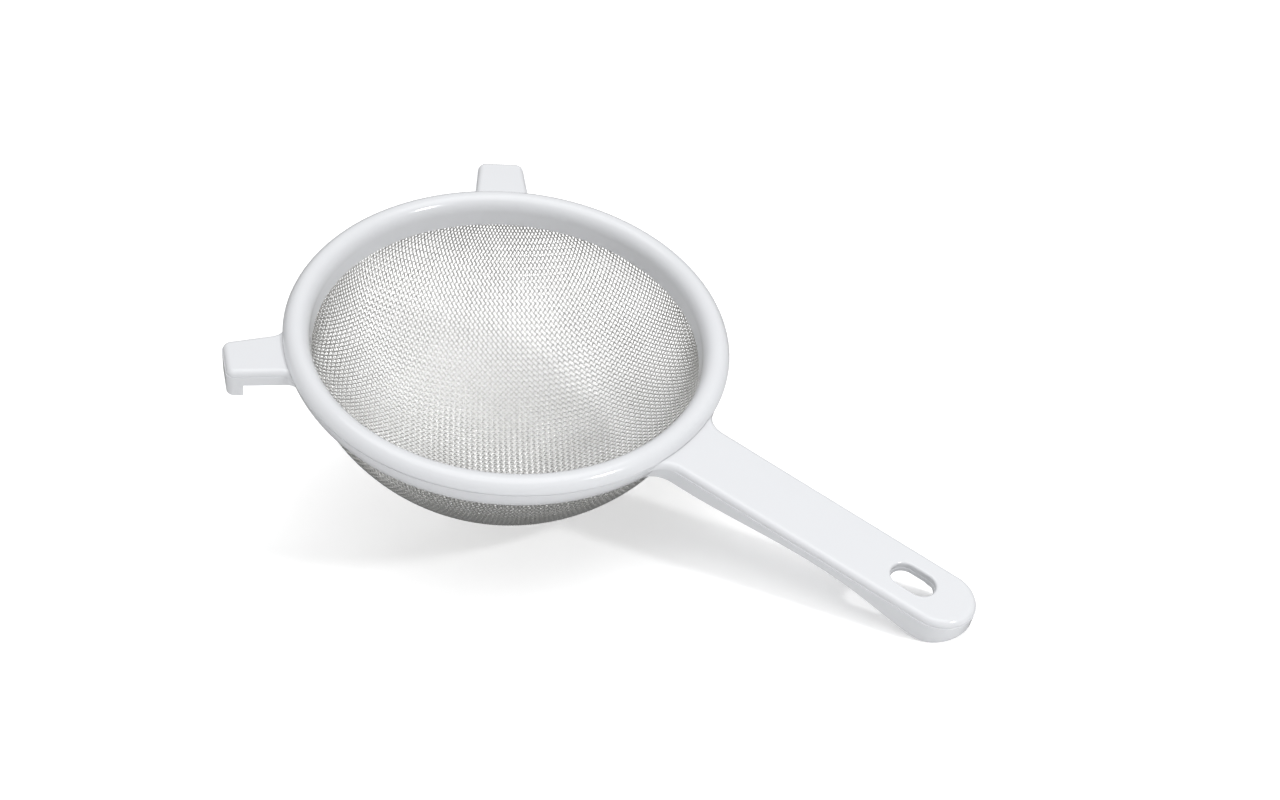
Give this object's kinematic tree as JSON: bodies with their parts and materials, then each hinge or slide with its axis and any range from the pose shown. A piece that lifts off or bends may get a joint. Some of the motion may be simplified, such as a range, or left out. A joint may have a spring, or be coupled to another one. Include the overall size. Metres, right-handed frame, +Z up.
{
  "type": "hand sieve",
  "caption": "Round flour sieve with a wire cloth bowl clamped in a white plastic ring, a long handle with a hanging slot, and pot rests.",
  "frame": {"origin": "middle of the bounding box at table level, with the sieve lying on its bowl and on the heel of its handle", "axes": "+X from the bowl along the handle, +Z up from the table, +Y across; the XZ plane is the plane of symmetry"},
  "size_m": [0.23, 0.1422, 0.0788],
  "materials": {
    "white_moulding": "glossy white moulded polypropylene with a fine parting line",
    "clamp_moulding": "glossy white moulded polypropylene",
    "wire_cloth": "plain-woven bright stainless steel wire"
  },
  "bodies": {
    "root": {"frame_ring": "white_moulding", "handle": "white_moulding", "pot_rest_left": "white_moulding", "pot_rest_right": "white_moulding", "clamp_ring": "clamp_moulding", "mesh_bowl": "wire_cloth"}
  },
  "joints": []
}
